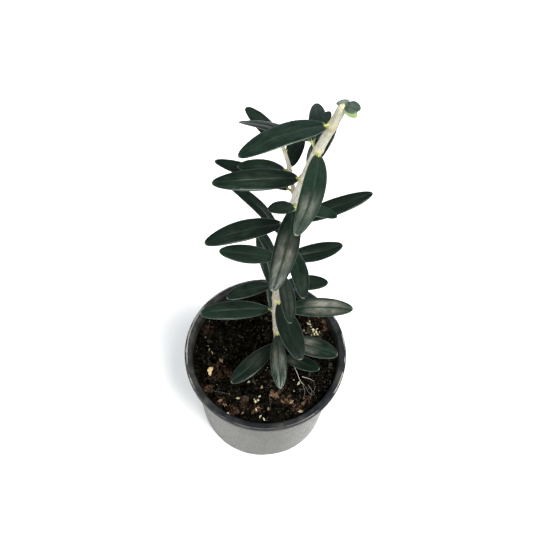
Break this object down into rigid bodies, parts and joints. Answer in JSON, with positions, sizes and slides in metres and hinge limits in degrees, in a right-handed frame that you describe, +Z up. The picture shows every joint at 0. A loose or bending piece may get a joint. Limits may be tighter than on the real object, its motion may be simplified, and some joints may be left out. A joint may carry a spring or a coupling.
{
  "type": "potted olive tree",
  "caption": "Young olive tree with one slim leaning stem, a side shoot and stiff narrow leaves in opposite pairs, growing in compost in a round tapered nursery pot.",
  "frame": {"origin": "centre of the pot's flat underside", "axes": "+Z up the plant; the picture's camera looks along +Y and down, with +X to its right"},
  "size_m": [0.105, 0.105, 0.3533],
  "materials": {
    "pot_plastic": "blue-black injection-moulded plastic, satin",
    "compost": "dark crumbly peat compost with pale bits",
    "bark": "smooth pale grey-beige young bark",
    "leaf": "dark grey-green leathery leaf, waxy above and paler below",
    "young_leaf": "young grey-green leaf"
  },
  "bodies": {
    "root": {"pot": "pot_plastic", "compost": "compost", "stem": "bark", "side_shoot": "bark", "leaf_01_right": "leaf", "leaf_02_left": "leaf", "leaf_02_right": "leaf", "leaf_03_front": "leaf", "leaf_03_back": "leaf", "leaf_04_left": "leaf", "leaf_04_right": "leaf", "leaf_05_front": "leaf", "leaf_05_back": "leaf", "leaf_06_left": "leaf", "leaf_06_right": "leaf", "leaf_07_front": "leaf", "leaf_07_back": "leaf", "leaf_08_left": "leaf", "leaf_08_right": "leaf", "leaf_09_front": "leaf", "leaf_09_back": "leaf", "leaf_10_left": "leaf", "leaf_10_right": "leaf", "leaf_11_front": "leaf", "leaf_12_left": "leaf", "leaf_12_back": "leaf", "leaf_13_front": "leaf", "leaf_13_back": "leaf", "leaf_14_left": "leaf", "side_leaf_01_left": "leaf", "side_leaf_02_left": "leaf", "side_leaf_02_back": "leaf", "crown_tip": "young_leaf", "side_shoot_tip": "leaf", "back_tuft": "leaf", "front_tuft": "leaf"}
  },
  "joints": []
}
